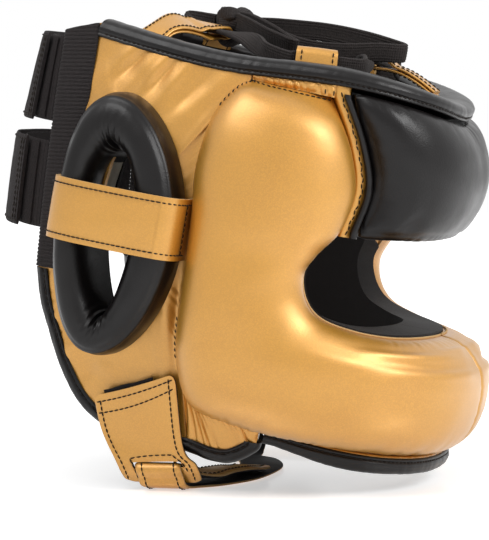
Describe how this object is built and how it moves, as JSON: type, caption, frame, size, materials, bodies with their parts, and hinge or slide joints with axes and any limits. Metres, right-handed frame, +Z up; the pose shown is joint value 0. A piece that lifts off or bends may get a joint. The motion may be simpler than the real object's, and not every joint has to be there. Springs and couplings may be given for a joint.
{
  "type": "full face boxing headguard",
  "caption": "Padded leather boxing headguard with face bar, cheek bumpers, ear rings, laced crown, hook-and-loop rear straps and a slotted chin strap.",
  "frame": {"origin": "centre of the bounding box on the plane that the guard stands on", "axes": "+Z up, the face looks along -Y and the wearer's right side is at -X; the head is nodded 10 degrees forward"},
  "size_m": [0.241, 0.275, 0.2725],
  "materials": {
    "gold_leather": "satin",
    "black_leather": "satin",
    "black_lining": "matte",
    "elastic_tape": "matte",
    "hook_and_loop": "matte",
    "lace": "matte",
    "foam": "matte"
  },
  "bodies": {
    "root": {"side_panel_right": "gold_leather", "side_panel_left": "gold_leather", "side_foam_right": "foam", "side_foam_left": "foam", "side_lining_right": "black_lining", "side_lining_left": "black_lining", "cheek_bumper_right": "gold_leather", "cheek_bumper_left": "gold_leather", "bumper_foam_right": "foam", "bumper_foam_left": "foam", "cheek_lining_right": "black_lining", "cheek_lining_left": "black_lining", "forehead_pad": "black_leather", "forehead_foam": "foam", "forehead_base": "black_leather", "forehead_lining": "black_lining", "temple_facing_right": "gold_leather", "temple_facing_left": "gold_leather", "temple_piping_right": "black_leather", "temple_piping_left": "black_leather", "temple_gather_right": "gold_leather", "temple_gather_left": "gold_leather", "jaw_gusset_right": "gold_leather", "jaw_gusset_left": "gold_leather", "chin_flange": "gold_leather", "crown_binding": "black_leather", "jaw_binding_right": "black_leather", "jaw_binding_left": "black_leather", "chin_binding": "black_leather", "rear_tape_right": "elastic_tape", "rear_tape_left": "elastic_tape", "ear_ring_right": "black_leather", "ear_ring_left": "black_leather", "ear_band_right": "gold_leather", "ear_band_left": "gold_leather", "upper_base_strap": "black_leather", "upper_loop_face": "hook_and_loop", "lower_base_strap": "black_leather", "lower_loop_face": "hook_and_loop", "front_crown_loop": "gold_leather", "rear_crown_loop_right": "gold_leather", "rear_crown_loop_left": "gold_leather", "side_crown_loop_right": "gold_leather", "side_crown_loop_left": "gold_leather", "crown_lace": "lace", "lace_knot": "lace", "lace_bow_long": "lace", "lace_bow_short": "lace", "chin_tab": "gold_leather", "chin_strap": "gold_leather"},
    "upper_flap": {"upper_flap_strap": "black_leather", "upper_hook_face": "hook_and_loop"},
    "lower_flap": {"lower_flap_strap": "black_leather", "lower_hook_face": "hook_and_loop"},
    "chin_tail": {"chin_strap_tail": "gold_leather"}
  },
  "joints": [
    {"name": "upper_strap_peel", "type": "hinge", "parent": "root", "child": "upper_flap", "pos_m": [0.07285, 0.09316, 0.22929], "axis": [0.1195, 0.1115, -0.9866], "range_deg": [0, 120]},
    {"name": "lower_strap_peel", "type": "hinge", "parent": "root", "child": "lower_flap", "pos_m": [0.07786, 0.09967, 0.17002], "axis": [0.0479, 0.1064, -0.9932], "range_deg": [0, 120]},
    {"name": "chin_tail_peel", "type": "hinge", "parent": "root", "child": "chin_tail", "pos_m": [-0.07681, 0.02915, 0.0131], "axis": [0.0696, -0.9976, 0.0034], "range_deg": [0, 48]}
  ]
}
